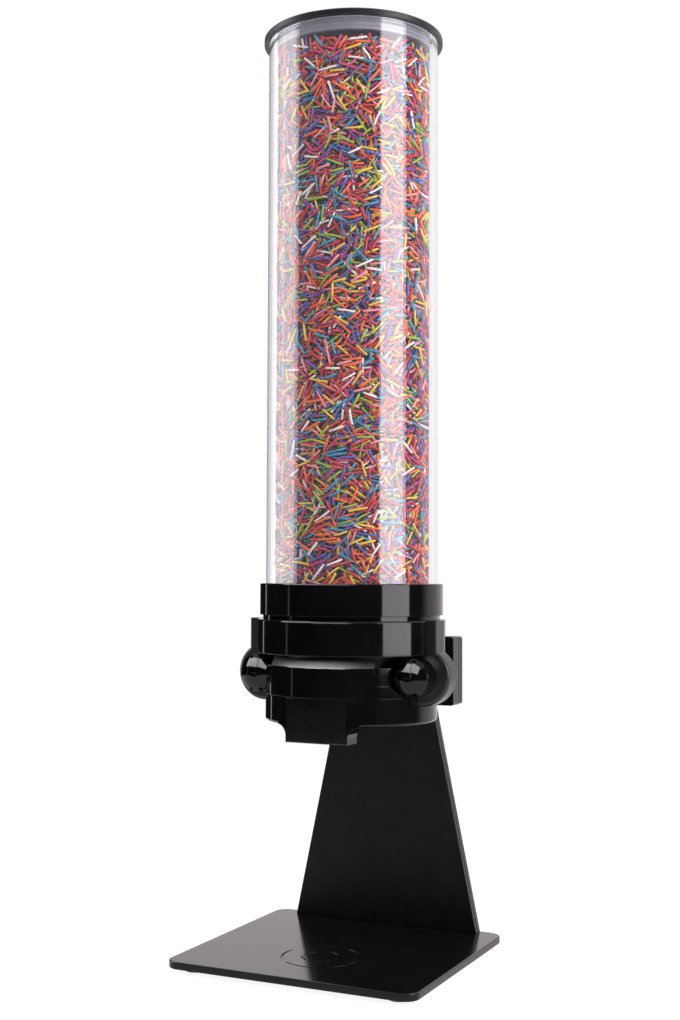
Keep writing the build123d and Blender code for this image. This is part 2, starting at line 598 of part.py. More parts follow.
# Push band: the curved front bar with its sloped shoulder, cut round the barrels
shoulder_z = BAND_TOP - SHOULDER_H
band = cyl(BAND_R, BAND_BOTTOM, shoulder_z)
slope = Pos(0, AXIS_Y, shoulder_z) * Cone(
    BAND_R, BAND_R - SHOULDER_IN, SHOULDER_H, align=(Align.CENTER, Align.CENTER, Align.MIN))
band += slope
band -= cyl(BAND_INNER_R, BAND_BOTTOM - 1, BAND_TOP + 1)
band &= box(-100, 100, -100, AXIS_Y - BAND_BACK, 0, 300)
ends = tube(BAND_R + 5, BAND_R - BAND_END_RECESS, BAND_BOTTOM + BAND_END_SKIRT, BAND_TOP + 1)
ends += tube(BAND_R + 5, BAND_INNER_R - 1, shoulder_z, BAND_TOP + 1)
band -= ends - box(-SHOULDER_HALF_W, SHOULDER_HALF_W, -100, 100, 0, 300)
tab_z = BARREL_Z - 5.5
for side in (-1, 1):
    x0, x1 = sorted((side * (CORE_R + 0.5), side * (CORE_R + 4.5)))
    band += box(x0, x1, AXIS_Y - BAND_BACK - 7, BARREL_BACK_Y - 14, tab_z, tab_z + 11)
    band -= rod_y(BARREL_R, AXIS_Y - 60, AXIS_Y, side * BARREL_X, BARREL_Z)
save("push_band", band)

# Gate: a yoke on the band carries the sliding plate with the portion slot
link_front = cyl(BAND_INNER_R, link_z0, link_z1)
link = box(-LINK_HALF_W, LINK_HALF_W, -100, LINK_BACK_Y, link_z0, link_z1) & link_front
gate_front_y = LINK_BACK_Y - LINK_DEPTH * 0.7
link -= box(-GATE_HALF_W, GATE_HALF_W, gate_front_y, 100, GATE_BOTTOM, GATE_TOP)
gate = box(-GATE_HALF_W, GATE_HALF_W, LINK_BACK_Y + 1, gate_back_y, GATE_BOTTOM, GATE_TOP)
gate += box(-LINK_HALF_W, LINK_HALF_W, gate_front_y, LINK_BACK_Y + 1, GATE_BOTTOM, GATE_TOP)
gate -= portion_slot(GATE_CLOSED_Y, GATE_BOTTOM - 1, GATE_TOP + 1)
GATE_SCREW_L = LINK_H - 2.0
gate_screws = []
for x in (-0.6 * LINK_HALF_W, 0.6 * LINK_HALF_W):
    y = (gate_front_y + LINK_BACK_Y) / 2
    link -= screw_hole_up(x, y, link_z0, GATE_SCREW_L)
    gate -= cyl(M3_R, link_z0, link_z1, x, y)
    gate_screws.append(screw_up(x, y, link_z0, GATE_SCREW_L))
save("gate_link", link)
save("gate_plate", gate)
save("gate_screws", Compound(children=gate_screws))

# Canister: collar, clear tube, seal and hopper funnel
spigot_bottom = SEAT_TOP + SEAT_GAP
collar = cyl(COLLAR_R, COLLAR_BOTTOM, COLLAR_TOP)
collar = fillet(collar.edges().group_by(Axis.Z)[-1], COLLAR_EDGE)
collar += cyl(SPIGOT_R, spigot_bottom, COLLAR_BOTTOM)
collar -= cyl(COLLAR_BORE_R, TUBE_BOTTOM, COLLAR_TOP + 1)
collar -= cyl(RIM_R + 0.2, RIM_BOTTOM, TUBE_BOTTOM + 1)
collar -= cyl(FUNNEL_TOP_R + 1.8, spigot_bottom - 1, TUBE_BOTTOM)
collar -= cyl(TUBE_R + SEAL_T, SEAL_BOTTOM, SEAL_BOTTOM + SEAL_H)
save("collar", collar)
save("tube", tube(TUBE_R, TUBE_BORE_R, TUBE_BOTTOM, TUBE_TOP))
save("tube_seal", tube(TUBE_R + SEAL_T, TUBE_R, SEAL_BOTTOM, SEAL_BOTTOM + SEAL_H))


def hopper_shape(grow, top_z, bottom_z):
    """A shape from a circle at the top to the portion slot below."""
    top = Pos(0, AXIS_Y, top_z) * Circle(FUNNEL_TOP_R + grow)
    size_x = 2 * (PORTION_HALF_W + grow)
    size_y = 2 * (PORTION_HALF_L + grow)
    bottom = Pos(0, THROAT_Y, bottom_z) * RectangleRounded(size_x, size_y, 2.0 + grow)
    return loft([bottom.face(), top.face()])


funnel = hopper_shape(FUNNEL_WALL, RIM_BOTTOM, FUNNEL_BOTTOM)
funnel += cyl(RIM_R, RIM_BOTTOM, TUBE_BOTTOM)
funnel -= hopper_shape(0, RIM_BOTTOM, FUNNEL_BOTTOM)
funnel -= cyl(FUNNEL_TOP_R, RIM_BOTTOM - 0.01, TUBE_BOTTOM + 1)
save("hopper_funnel", funnel)

candy = hopper_shape(-CANDY_SLACK, RIM_BOTTOM, FUNNEL_BOTTOM + 1)
candy += cyl(FUNNEL_TOP_R - CANDY_SLACK, RIM_BOTTOM, TUBE_BOTTOM)
candy += cyl(TUBE_BORE_R - CANDY_SLACK, TUBE_BOTTOM, CANDY_TOP)
save("candy_fill", candy)

# Lid: a flat cap over a plug ring that fits in the tube
lid_z = TUBE_TOP + SEAT_GAP
lid = cyl(LID_R, lid_z, lid_z + LID_T)
lid = fillet(lid.edges().sort_by(Axis.Z)[-1], LID_EDGE)
plug_r = TUBE_BORE_R - PLUG_SLACK
seal_z = (PLUG_BOTTOM + lid_z) / 2 - LID_SEAL_H / 2
plug = tube(plug_r, plug_r - PLUG_WALL, PLUG_BOTTOM, lid_z)
plug += cyl(plug_r - 1, lid_z - 1.5, lid_z)
plug -= tube(plug_r + 1, plug_r - 1.0, seal_z, seal_z + LID_SEAL_H)
save("lid_cap", lid)
save("lid_plug", plug)
save("lid_seal", tube(TUBE_BORE_R - LID_SEAL_SLACK, plug_r - 1.0, seal_z, seal_z + LID_SEAL_H))
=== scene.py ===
import json
import math

import bpy
import numpy as np
from mathutils import Matrix, Vector


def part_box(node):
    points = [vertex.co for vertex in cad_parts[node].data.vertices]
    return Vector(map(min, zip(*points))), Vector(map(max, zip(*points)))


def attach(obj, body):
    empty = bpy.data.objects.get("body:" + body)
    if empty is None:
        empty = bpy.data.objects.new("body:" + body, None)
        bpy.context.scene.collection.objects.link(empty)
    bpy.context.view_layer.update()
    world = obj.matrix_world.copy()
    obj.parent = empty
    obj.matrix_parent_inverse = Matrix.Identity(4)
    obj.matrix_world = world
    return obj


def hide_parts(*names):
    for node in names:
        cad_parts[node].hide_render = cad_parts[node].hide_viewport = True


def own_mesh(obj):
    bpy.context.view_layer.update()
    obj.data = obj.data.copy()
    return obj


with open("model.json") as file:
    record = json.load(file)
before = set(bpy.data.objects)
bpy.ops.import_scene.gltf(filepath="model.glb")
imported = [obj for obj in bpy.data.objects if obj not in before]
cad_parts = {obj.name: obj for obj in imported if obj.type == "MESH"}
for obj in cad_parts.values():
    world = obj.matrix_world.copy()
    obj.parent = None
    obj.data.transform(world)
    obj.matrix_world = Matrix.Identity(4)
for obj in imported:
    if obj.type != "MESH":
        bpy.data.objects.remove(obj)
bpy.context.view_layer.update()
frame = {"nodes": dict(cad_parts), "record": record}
NODES = frame["nodes"]

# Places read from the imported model, in metres
FILL_LOW, FILL_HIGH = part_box("candy_fill")
TUBE_LOW, TUBE_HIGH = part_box("tube")
COLLAR_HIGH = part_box("collar")[1]
AXIS_Y = (TUBE_LOW.y + TUBE_HIGH.y) / 2
FILL_R = (FILL_HIGH.x - FILL_LOW.x) / 2
FILL_TOP = FILL_HIGH.z

scene = bpy.context.scene
scene.view_settings.view_transform = "Standard"
scene.view_settings.look = "None"


# Camera, as fitted to the photograph
CAMERA_PLACE = Vector((0.4242, -0.8924, 0.2624))
CAMERA_YAW = math.radians(25.486)
CAMERA_PITCH = math.radians(2.55)
CAMERA_ROLL = math.radians(0.229)


def make_camera():
    data = bpy.data.cameras.new("camera")
    data.sensor_fit = "VERTICAL"
    data.sensor_height = 36.0
    data.lens = 50.44
    data.clip_start = 0.02
    camera = bpy.data.objects.new("camera", data)
    scene.collection.objects.link(camera)
    forward = Vector((
        -math.sin(CAMERA_YAW) * math.cos(CAMERA_PITCH),
        math.cos(CAMERA_YAW) * math.cos(CAMERA_PITCH),
        math.sin(CAMERA_PITCH),
    ))
    level = Vector((math.cos(CAMERA_YAW), math.sin(CAMERA_YAW), 0))
    upright = level.cross(forward)
    right = level * math.cos(CAMERA_ROLL) + upright * math.sin(CAMERA_ROLL)
    up = upright * math.cos(CAMERA_ROLL) - level * math.sin(CAMERA_ROLL)
    turned = Matrix((right, up, -forward)).transposed().to_4x4()
    camera.matrix_world = Matrix.Translation(CAMERA_PLACE) @ turned
    scene.camera = camera


make_camera()


# Small helpers for shader trees
class Tree:
    """Adds nodes to a material or world and links them."""

    def __init__(self, owner):
        owner.use_nodes = True
        self.tree = owner.node_tree
        self.tree.nodes.clear()

    def add(self, kind, values=None, **settings):
        node = self.tree.nodes.new(kind)
        for name, value in settings.items():
            setattr(node, name, value)
        for name, value in (values or {}).items():
            if isinstance(value, bpy.types.NodeSocket):
                self.tree.links.new(value, node.inputs[name])
            else:
                node.inputs[name].default_value = value
        return node

    def maths(self, operation, a, b=0.0, c=0.0):
        return self.add("ShaderNodeMath", {0: a, 1: b, 2: c}, operation=operation).outputs[0]

    def spread(self, value, low, high, to_low, to_high):
        """Maps a value's range to another, held at both ends."""
        put = {"Value": value, "From Min": low, "From Max": high, "To Min": to_low, "To Max": to_high}
        return self.add("ShaderNodeMapRange", put).outputs[0]

    def noise(self, scale, detail=3.0, roughness=0.5, stretch=(1, 1, 1)):
        place = self.add("ShaderNodeTexCoord").outputs["Object"]
        moved = self.add("ShaderNodeMapping", {"Vector": place, "Scale": stretch}).outputs[0]
        put = {"Vector": moved, "Scale": scale, "Detail": detail, "Roughness": roughness}
        return self.add("ShaderNodeTexNoise", put).outputs["Fac"]

    def component(self, kind, axis):
        """X, Y or Z (0, 1 or 2) of the object's own place or normal."""
        place = self.add("ShaderNodeTexCoord").outputs[kind]
        return self.add("ShaderNodeSeparateXYZ", {0: place}).outputs[axis]

    def mix(self, share, first, second):
        put = {0: share, 6: first, 7: second}
        return self.add("ShaderNodeMix", put, data_type="RGBA").outputs[2]

    def bump(self, height, distance, strength=1.0, normal=None):
        put = {"Height": height, "Distance": distance, "Strength": strength}
        if normal is not None:
            put["Normal"] = normal
        return self.add("ShaderNodeBump", put).outputs[0]

    def rounded(self, radius):
        """A normal that turns over each edge, as a moulded or coated edge does."""
        return self.add("ShaderNodeBevel", {"Radius": radius}, samples=4).outputs[0]

    def finish(self, shader, target="ShaderNodeOutputMaterial"):
        out = self.add(target)
        self.tree.links.new(shader, out.inputs["Surface"])

    def principled(self, put):
        self.finish(self.add("ShaderNodeBsdfPrincipled", put).outputs[0])


# What the satin zone adds to a polished plastic's roughness and specular level
SATIN_ROUGH = 0.33
SATIN_SHINE = 0.25


def colour(red, green, blue):
    return (red, green, blue, 1.0)


def blend_colour(tree, noise, dark, light):
    return tree.mix(tree.spread(noise, 0.3, 0.7, 0, 1), colour(*dark), colour(*light))


def gloss_plastic(name, dark, light, rough, shine, edge, satin=None):
    """Polished moulded plastic: a faint uneven polish and a slow ripple of the mould.

    satin is the low and high height of a zone with a softer shine.
    """
    material = bpy.data.materials.new(name)
    tree = Tree(material)
    cloud = tree.noise(38, 4)
    ripple = tree.noise(26, 1)
    polish = tree.spread(tree.noise(210, 5, 0.6), 0.25, 0.75, rough * 0.75, rough * 1.3)
    put = {
        "Base Color": blend_colour(tree, cloud, dark, light),
        "Roughness": polish,
        "Specular IOR Level": shine,
        "Normal": tree.bump(ripple, 0.00005, 0.6, tree.rounded(edge)),
    }
    if satin is not None:
        height = tree.component("Object", 2)
        above = tree.maths("GREATER_THAN", height, satin[0])
        below = tree.maths("LESS_THAN", height, satin[1])
        zone = tree.maths("MULTIPLY", above, below)
        put["Roughness"] = tree.maths("MULTIPLY_ADD", zone, SATIN_ROUGH, polish)
        put["Specular IOR Level"] = tree.maths("MULTIPLY_ADD", zone, SATIN_SHINE, shine)
    tree.principled(put)
    return material


def grained_plastic(name, dark, light, rough, shine, grain, depth, edge):
    """Matt or satin moulded plastic with a fine spark grain."""
    material = bpy.data.materials.new(name)
    tree = Tree(material)
    fine = tree.noise(grain, 3, 0.55)
    put = {
        "Base Color": blend_colour(tree, tree.noise(55, 4), dark, light),
        "Roughness": tree.spread(fine, 0.3, 0.7, rough * 0.85, rough * 1.15),
        "Specular IOR Level": shine,
        "Normal": tree.bump(fine, depth, 1.0, tree.rounded(edge)),
    }
    tree.principled(put)
    return material


def powder_coat(name, dark, light, rough, shine, depth, side_shine=None, edge_shine=None):
    """Powder coat on steel: an orange-peel skin of rounded dimples with a finer one over it.

    side_shine is the specular level of faces turned sideways, edge_shine that of upright faces.
    """
    material = bpy.data.materials.new(name)
    tree = Tree(material)
    peel = tree.noise(620, 2, 0.45)
    wide = tree.noise(240, 2, 0.5)
    skin = tree.maths("MULTIPLY_ADD", wide, 0.8, peel)
    put = {
        "Base Color": blend_colour(tree, tree.noise(70, 5, 0.6), dark, light),
        "Roughness": tree.spread(tree.noise(900, 3), 0.3, 0.7, rough * 0.85, rough * 1.15),
        "Specular IOR Level": shine,
        "Normal": tree.bump(skin, depth, 1.0, tree.rounded(0.0006)),
    }
    if side_shine is not None:
        facing = tree.maths("ABSOLUTE", tree.component("Normal", 0))
        sideways = tree.maths("GREATER_THAN", facing, 0.7)
        put["Specular IOR Level"] = tree.maths("MULTIPLY_ADD", sideways, side_shine - shine, shine)
    if edge_shine is not None:
        facing = tree.maths("ABSOLUTE", tree.component("Normal", 2))
        upright = tree.maths("LESS_THAN", facing, 0.5)
        put["Specular IOR Level"] = tree.maths("MULTIPLY_ADD", upright, edge_shine - shine, shine)
    tree.principled(put)
    return material


def brushed_steel(name, dark, light, rough, stretch):
    """Bare steel with fine marks of the brush or the lathe along one way."""
    material = bpy.data.materials.new(name)
    tree = Tree(material)
    marks = tree.noise(900, 3, 0.6, stretch)
    put = {
        "Base Color": blend_colour(tree, marks, dark, light),
        "Metallic": 1.0,
        "Roughness": tree.spread(marks, 0.3, 0.7, rough * 0.7, rough * 1.3),
        "Normal": tree.bump(marks, 0.00001, 0.5, tree.rounded(0.0002)),
    }
    tree.principled(put)
    return material


def clear_acrylic(name):
    """Cast acrylic that bends light. Light for the sprinkles passes straight through."""
    material = bpy.data.materials.new(name)
    tree = Tree(material)
    smear = tree.spread(tree.noise(14, 5, 0.6, (1, 1, 0.35)), 0.45, 0.8, 0.0, 0.03)
    glass = tree.add("ShaderNodeBsdfGlass", {
        "Color": colour(0.985, 0.99, 1.0), "Roughness": smear, "IOR": 1.49,
    }).outputs[0]
    clear = tree.add("ShaderNodeBsdfTransparent", {"Color": colour(0.97, 0.975, 0.985)}).outputs[0]
    passing = tree.add("ShaderNodeLightPath").outputs["Is Shadow Ray"]
    both = tree.add("ShaderNodeMixShader", {0: passing, 1: glass, 2: clear}).outputs[0]
    tree.finish(both)
    return material


BLACK = ((0.002, 0.002, 0.0026), (0.0045, 0.0045, 0.0055))
BAND_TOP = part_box("push_band")[1].z
BAND_SHOULDER = (BAND_TOP - 0.0061, BAND_TOP - 0.0002)
# Dark and light colour, roughness, specular level, depth of the skin, side and edge shine
COATED = {
    "coated_steel": ((0.003, 0.003, 0.0035), (0.006, 0.0055, 0.006), 0.14, 0.62, 0.000025, None, 0.2),
    "back_steel": ((0.01, 0.01, 0.011), (0.017, 0.017, 0.018), 0.4, 0.3, 0.00012),
    "panel_steel": ((0.0035, 0.0035, 0.004), (0.007, 0.007, 0.0075), 0.36, 0.14, 0.0001, 0.55),
}
# Dark and light colour, roughness, specular level, radius of the edges, satin zone
POLISHED = {
    "ring_black": (*BLACK, 0.07, 0.3, 0.0012),
    "band_black": (*BLACK, 0.07, 0.3, 0.0004, BAND_SHOULDER),
    "gloss_black": (*BLACK, 0.07, 0.3, 0.0005),
    "cover_black": ((0.003, 0.003, 0.004), (0.006, 0.006, 0.007), 0.14, 0.3, 0.0005),
}
# Dark and light colour, roughness, specular level, scale and depth of the grain, radius of the edges
GRAINED = {
    "foot_rubber": ((0.002, 0.002, 0.002), (0.004, 0.004, 0.004), 0.75, 0.08, 700, 0.00005, 0.0004),
    "dark_plastic": ((0.006, 0.006, 0.007), (0.012, 0.012, 0.013), 0.5, 0.35, 800, 0.00004, 0.0004),
    "arm_black": ((0.007, 0.007, 0.008), (0.014, 0.013, 0.014), 0.32, 0.45, 900, 0.00002, 0.0006),
    "seal_rubber": ((0.03, 0.03, 0.032), (0.05, 0.05, 0.052), 0.6, 0.3, 600, 0.00003, 0.0003),
    "lid_black": ((0.009, 0.009, 0.01), (0.016, 0.015, 0.017), 0.36, 0.4, 900, 0.00002, 0.0007),
    "plug_grey": ((0.13, 0.13, 0.15), (0.17, 0.17, 0.19), 0.3, 0.5, 500, 0.00002, 0.0005),
}
# Dark and light colour, roughness, stretch of the marks
BRUSHED = {
    "screw_steel": ((0.3, 0.3, 0.31), (0.5, 0.5, 0.51), 0.3, (1, 1, 1)),
    "rod_steel": ((0.42, 0.42, 0.44), (0.6, 0.6, 0.62), 0.22, (1, 8, 1)),
    "spring_steel": ((0.4, 0.4, 0.42), (0.58, 0.58, 0.6), 0.28, (1, 1, 1)),
    "gate_steel": ((0.45, 0.45, 0.46), (0.62, 0.62, 0.63), 0.3, (0.15, 6, 6)),
}
MAKERS = (
    (powder_coat, COATED),
    (gloss_plastic, POLISHED),
    (grained_plastic, GRAINED),
    (brushed_steel, BRUSHED),
)
FINISHES = {name: make(name, *row) for make, rows in MAKERS for name, row in rows.items()}
FINISHES["clear_tube"] = clear_acrylic("clear_tube")
# Pieces whose finish differs from their slot's
NODE_FINISH = {
    "push_band": "band_black",
    "upper_housing": "ring_black",
    "upright_front": "panel_steel",
    "back_plate": "panel_steel",
    "lid_seal": "plug_grey",
}
SLOT_OF = {row["node"]: row["material_slot"] for row in frame["record"]["subparts"]}
for node, thing in NODES.items():
    chosen = FINISHES.get(NODE_FINISH.get(node, SLOT_OF[node]))
    if chosen is None:
        continue
    if not thing.material_slots:
        thing.data.materials.append(chosen)
    for place in thing.material_slots:
        place.material = chosen


# Sprinkles: many short rods in sugar colours, packed against the tube wall over a near-black core that paints
# the shade between them
def sugar(name, base):
    """A pressed sugar rod with a soft shine."""
    material = bpy.data.materials.new("sugar_" + name)
    tree = Tree(material)
    put = {
        "Base Color": colour(*base),
        "Roughness": 0.36,
        "Specular IOR Level": 0.6,
    }
    tree.principled(put)
    return material


# Each sugar: its colour and its share of the rods
SUGARS = {
    "red": ((0.4, 0.004, 0.012), 24),
    "orange": ((0.66, 0.09, 0.003), 13),
    "yellow": ((0.6, 0.38, 0.008), 12),
    "lime": ((0.2, 0.33, 0.01), 8),
    "turquoise": ((0.009, 0.2, 0.28), 12),
    "blue": ((0.022, 0.065, 0.28), 9),
    "violet": ((0.09, 0.028, 0.2), 8),
    "magenta": ((0.4, 0.006, 0.085), 10),
    "white": ((0.68, 0.6, 0.57), 7),
    "rose": ((0.62, 0.2, 0.24), 7),
}
SEED = 20261
ROD_R = 0.00078
ROD_SIDES = 6
# Rings of a rod: place along its half length and share of its radius
ROD_RINGS = ((-1.0, 0.6), (-0.93, 1.0), (0.0, 1.0), (0.93, 1.0), (1.0, 0.6))
WALL_HALF = (0.0046, 0.0067)
TOP_HALF = (0.0045, 0.0063)
WALL_R = FILL_R - 0.001
UP = np.array([[0, 0, 1.0]])
# Keeps a straight rod's bend from being nothing, as its sides are set out from it
LEAST_BEND = 1e-7 * UP
# Cells of the unrolled wall on which the rods are laid, and spare rows above and below it
CELL = 0.0004
SPARE = 30
# Each layer against the wall: tries, depth behind the wall, share that may overlap, inward lean
WALL_LAYERS = (
    (7500, 0.0, 0.05, 0.04),
    (13000, 0.0013, 0.08, 0.09),
    (10000, 0.0027, 0.2, 0.13),
    (7000, 0.0042, 0.3, 0.15),
)
TOP_RODS = 1300
TOP_DEPTH = 0.0022


def skin_faces(rings, sides):
    """Faces of a closed skin over rings of points, with a flat end at each end."""
    faces = []
    for ring in range(rings - 1):
        for side in range(sides):
            after = (side + 1) % sides
            a, b = ring * sides, (ring + 1) * sides
            faces.append((a + side, a + after, b + after, b + side))
    faces.append(tuple(range(sides))[::-1])
    faces.append(tuple((rings - 1) * sides + side for side in range(sides)))
    return faces


def add_object(mesh, material):
    """Puts a mesh in the scene under the mesh's own name."""
    mesh.materials.append(material)
    piece = bpy.data.objects.new(mesh.name, mesh)
    scene.collection.objects.link(piece)
    return piece


def rod_faces(count):
    """Loop vertex numbers, face starts and face sizes for many rods of one shape."""
    faces = skin_faces(len(ROD_RINGS), ROD_SIDES)
    loops = np.concatenate(faces)
    step = len(ROD_RINGS) * ROD_SIDES
    all_loops = (loops[None, :] + step * np.arange(count)[:, None]).ravel()
    all_sizes = np.tile([len(face) for face in faces], count)
    starts = np.concatenate([[0], np.cumsum(all_sizes)[:-1]])
    return all_loops, starts, all_sizes


def unit(rows):
    return rows / np.linalg.norm(rows, axis=1, keepdims=True)


def rods_mesh(name, middles, along, half, bend, radius):
    """One mesh of many rods. middles, along and bend are rows of three, half and radius one number a rod."""
    side = unit(np.cross(along, bend))
    across = np.cross(along, side)
    rows = []
    for place, share in ROD_RINGS:
        centre = middles + along * (half * place)[:, None] + bend * (1 - place * place)
        for turn in range(ROD_SIDES):
            angle = 2 * math.pi * turn / ROD_SIDES
            spoke = side * math.cos(angle) + across * math.sin(angle)
            rows.append(centre + spoke * (radius * share)[:, None])
    points = np.stack(rows, 1).reshape(-1, 3)
    loops, starts, sizes = rod_faces(len(middles))
    mesh = bpy.data.meshes.new(name)
    mesh.vertices.add(len(points))
    mesh.vertices.foreach_set("co", points.astype(np.float32).ravel())
    mesh.loops.add(len(loops))
    mesh.loops.foreach_set("vertex_index", loops.astype(np.int32))
    mesh.polygons.add(len(starts))
    mesh.polygons.foreach_set("loop_start", starts.astype(np.int32))
    mesh.polygons.foreach_set("use_smooth", (sizes == 4))
    mesh.update(calc_edges=True)
    return mesh


def drift(turn, height):
    """The slowly changing lean of neighbouring rods, which lie in small bundles."""
    first = np.sin(7 * turn + 88 * height + 0.4)
    second = np.sin(11 * turn - 131 * height + 2.1)
    third = np.sin(4 * turn + 205 * height + 4.0)
    return 0.75 * first + 0.6 * second + 0.45 * third + 0.15


def free_places(turn, height, half, tilt, low, high, allowed):
    """Lays rods one after another on the unrolled wall and keeps those that hardly cover others."""
    wide = int(2 * math.pi * WALL_R / CELL)
    taken = np.zeros((int((high - low) / CELL) + 2 * SPARE, wide), bool)
    steps = np.linspace(-1, 1, 27)[:, None]
    sides = np.array([-0.8, 0.0, 0.8])[None, :] * ROD_R
    kept = []
    for number in range(len(turn)):
        cos, sin = math.cos(tilt[number]), math.sin(tilt[number])
        run = steps * half[number]
        around_wall = (turn[number] * WALL_R + run * cos - sides * sin) / CELL
        rise = (height[number] - low + run * sin + sides * cos) / CELL + SPARE
        columns = around_wall.astype(int) % wide
        rows = np.clip(rise.astype(int), 0, len(taken) - 1)
        if taken[rows, columns].mean() <= allowed:
            taken[rows, columns] = True
            kept.append(number)
    return np.array(kept)


def wall_rods(draw, tries, depth, allowed, lean_in, low, high):
    """One layer of rods behind the tube wall, each laid where there is room for it."""
    turn = draw.uniform(0, 2 * math.pi, tries)
    height = draw.uniform(low, high, tries)
    half = draw.uniform(*WALL_HALF, tries)
    tilt = drift(turn + depth * 400, height) + draw.normal(0, 0.42, tries)
    kept = free_places(turn, height, half, tilt, low, high, allowed)
    turn, height, half, tilt = turn[kept], height[kept], half[kept], tilt[kept]
    count = len(kept)
    inward = draw.normal(0, lean_in, count)
    radial = np.stack([np.cos(turn), np.sin(turn), np.zeros(count)], 1)
    tangent = np.stack([-np.sin(turn), np.cos(turn), np.zeros(count)], 1)
    along = tangent * np.cos(tilt)[:, None] + UP * np.sin(tilt)[:, None]
    along = unit(along + radial * inward[:, None])
    flat = half * np.abs(np.cos(tilt))
    reach = half * np.abs(inward)
    limit = np.sqrt((WALL_R - reach) ** 2 - flat ** 2)
    middles = radial * (limit - depth - draw.uniform(0, 0.0005, count))[:, None]
    middles[:, 1] += AXIS_Y
    middles[:, 2] = height
    sag = -radial * draw.uniform(0, 0.00015, count)[:, None]
    sway = np.cross(along, radial) * (draw.normal(0, 0.00016, count))[:, None]
    return middles, along, half, sag + sway + LEAST_BEND, draw.uniform(0.9, 1.05, count) * ROD_R


def top_height(x, y):
    """The uneven top of the fill."""
    wave = np.sin(x * 92 + 0.7) * np.cos(y * 78 - 0.4) * 0.0016
    return FILL_TOP - 0.0034 + wave - 0.0016 * (x * x + y * y) / FILL_R ** 2


def top_rods(draw, count, depth):
    """Rods lying on the top of the fill."""
    turn = draw.uniform(0, 2 * math.pi, count)
    out = np.sqrt(draw.random(count)) * (FILL_R - 0.0062)
    x, y = out * np.cos(turn), out * np.sin(turn)
    half = draw.uniform(*TOP_HALF, count)
    heading = draw.uniform(0, 2 * math.pi, count)
    tilt = draw.normal(0, 0.16, count)
    along = np.stack([np.cos(heading) * np.cos(tilt), np.sin(heading) * np.cos(tilt), np.sin(tilt)], 1)
    middles = np.stack([x, y + AXIS_Y, top_height(x, y) - draw.uniform(0, depth, count)], 1)
    middles[:, 2] = np.minimum(middles[:, 2], FILL_TOP - ROD_R - half * np.abs(np.sin(tilt)))
    bend = np.cross(along, UP) * draw.normal(0, 0.0002, count)[:, None]
    return middles, along, half, bend + LEAST_BEND, draw.uniform(0.88, 1.06, count) * ROD_R


def make_sprinkles():
    draw = np.random.default_rng(SEED)
    low = COLLAR_HIGH.z - 0.008
    high = FILL_TOP - 0.003
    layers = [wall_rods(draw, *row, low, high) for row in WALL_LAYERS]
    layers.append(top_rods(draw, TOP_RODS, TOP_DEPTH))
    middles, along, half, bend, radius = (np.concatenate(parts) for parts in zip(*layers))
    weights = np.array([row[1] for row in SUGARS.values()], float)
    picked = draw.choice(len(SUGARS), len(middles), p=weights / weights.sum())
    for number, (name, (base, _)) in enumerate(SUGARS.items()):
        here = picked == number
        rows = (part[here] for part in (middles, along, half, bend, radius))
        mesh = rods_mesh("sprinkles_" + name, *rows)
        piece = add_object(mesh, sugar(name, base))
        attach(piece, "canister")


def core_material():
    """What shows between the rods: near black with a hint of their colours, as painted shade of the deeper
    rods.
    """
    material = bpy.data.materials.new("sugar_core")
    tree = Tree(material)
    place = tree.add("ShaderNodeTexCoord").outputs["Object"]
    cells = tree.add("ShaderNodeTexVoronoi", {"Vector": place, "Scale": 420.0})
    # Painted shade: the cell colours are darkened to near black to stand for the shaded rods deep in the gaps
    painted_shade_colour = tree.add("ShaderNodeHueSaturation", {
        "Color": cells.outputs["Color"], "Saturation": 1.5, "Value": 0.02,
    }).outputs[0]
    put = {
        "Base Color": painted_shade_colour,
        "Roughness": 0.8,
        "Normal": tree.bump(cells.outputs["Distance"], 0.0006),
    }
    tree.principled(put)
    return material


CORE_R = 0.0494
CORE_BOTTOM = 0.2440
CORE_TOP = FILL_TOP - 0.006
CORE_STEPS = 190
CORE_SIDES = 144
CORE_ROUGH = 0.0006


def make_core():
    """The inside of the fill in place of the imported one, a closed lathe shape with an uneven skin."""
    levels = [(0.0180, FILL_LOW.z + 0.001), (0.0300, FILL_LOW.z + 0.008), (0.0470, CORE_BOTTOM - 0.004)]
    rise = CORE_TOP - CORE_BOTTOM
    levels += [(CORE_R, CORE_BOTTOM + rise * step / CORE_STEPS) for step in range(CORE_STEPS + 1)]
    levels += [(CORE_R * share, CORE_TOP + 0.0008 * (1 - share)) for share in (0.9, 0.7, 0.5, 0.3, 0.12)]
    draw = np.random.default_rng(SEED + 1)
    points = []
    for radius, height in levels:
        rough = draw.uniform(-CORE_ROUGH, CORE_ROUGH, CORE_SIDES)
        for side in range(CORE_SIDES):
            angle = 2 * math.pi * side / CORE_SIDES
            out = radius + rough[side]
            points.append((out * math.cos(angle), out * math.sin(angle) + AXIS_Y, height))
    mesh = bpy.data.meshes.new("sprinkles_core")
    mesh.from_pydata(points, [], skin_faces(len(levels), CORE_SIDES))
    piece = add_object(mesh, core_material())
    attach(piece, "canister")
    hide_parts("candy_fill")


make_sprinkles()
make_core()


# Return springs, wound again here and attached to the head
WIRE_R = 0.0006
WIRE_SIDES = 10
SPRING_TURNS = 8
TURN_STEPS = 32


